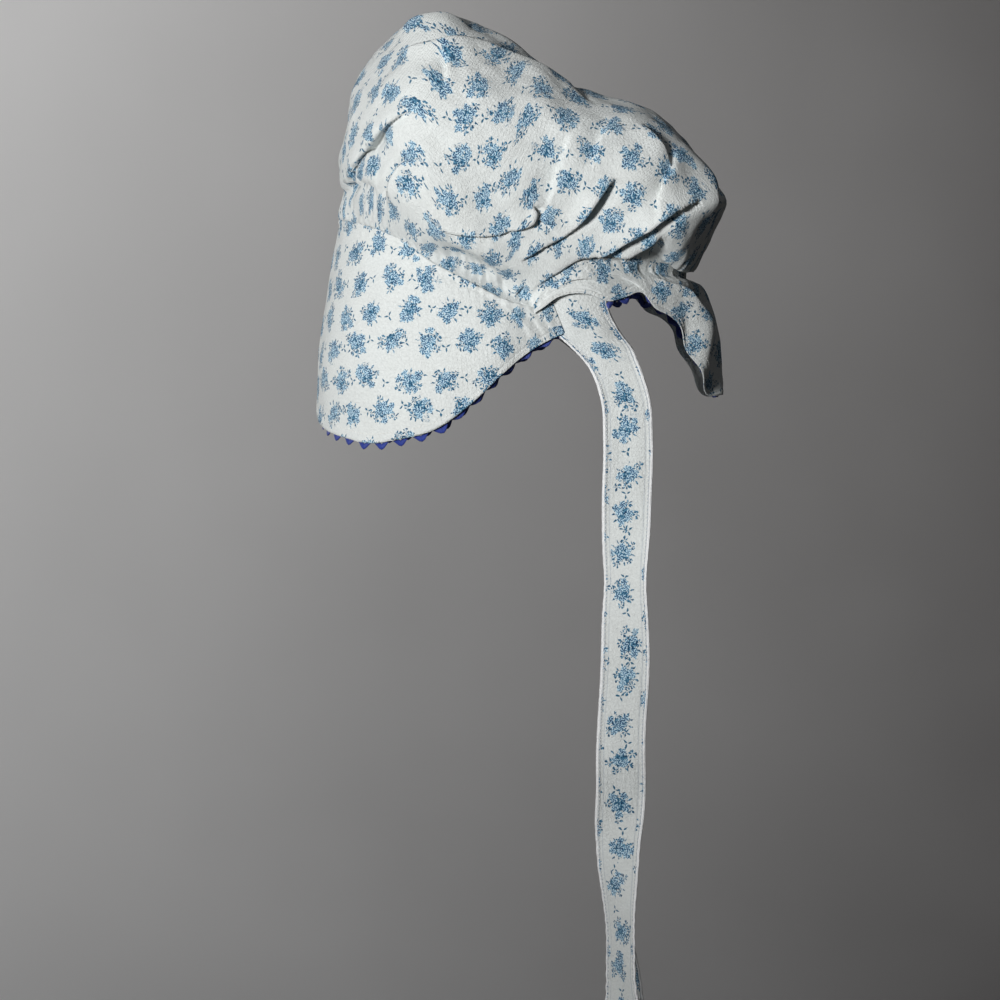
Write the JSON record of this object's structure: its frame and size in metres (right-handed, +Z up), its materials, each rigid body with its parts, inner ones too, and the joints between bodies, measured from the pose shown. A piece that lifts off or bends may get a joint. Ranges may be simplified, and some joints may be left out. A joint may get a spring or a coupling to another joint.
{
  "type": "sunbonnet with neck curtain and ties, shown worn",
  "caption": "Printed cotton sunbonnet with a gathered crown, curved brim, neck curtain, wavy braid edging and two long ties.",
  "frame": {"origin": "where the top of the head sits, inside the crown, on the middle plane", "axes": "+Z up as worn, -Y the way the wearer faces, +X the wearer's left"},
  "size_m": [0.2455, 0.2993, 0.7482],
  "materials": {
    "printed_cotton": "crinkled plain-weave cotton, off-white with small blue flower sprays",
    "blue_braid": "woven wavy braid, royal blue, slight sheen"
  },
  "bodies": {
    "root": {"crown": "printed_cotton", "brim": "printed_cotton", "neck_curtain": "printed_cotton", "tie_left": "printed_cotton", "tie_right": "printed_cotton", "brim_rickrack": "blue_braid", "curtain_rickrack": "blue_braid"}
  },
  "joints": []
}
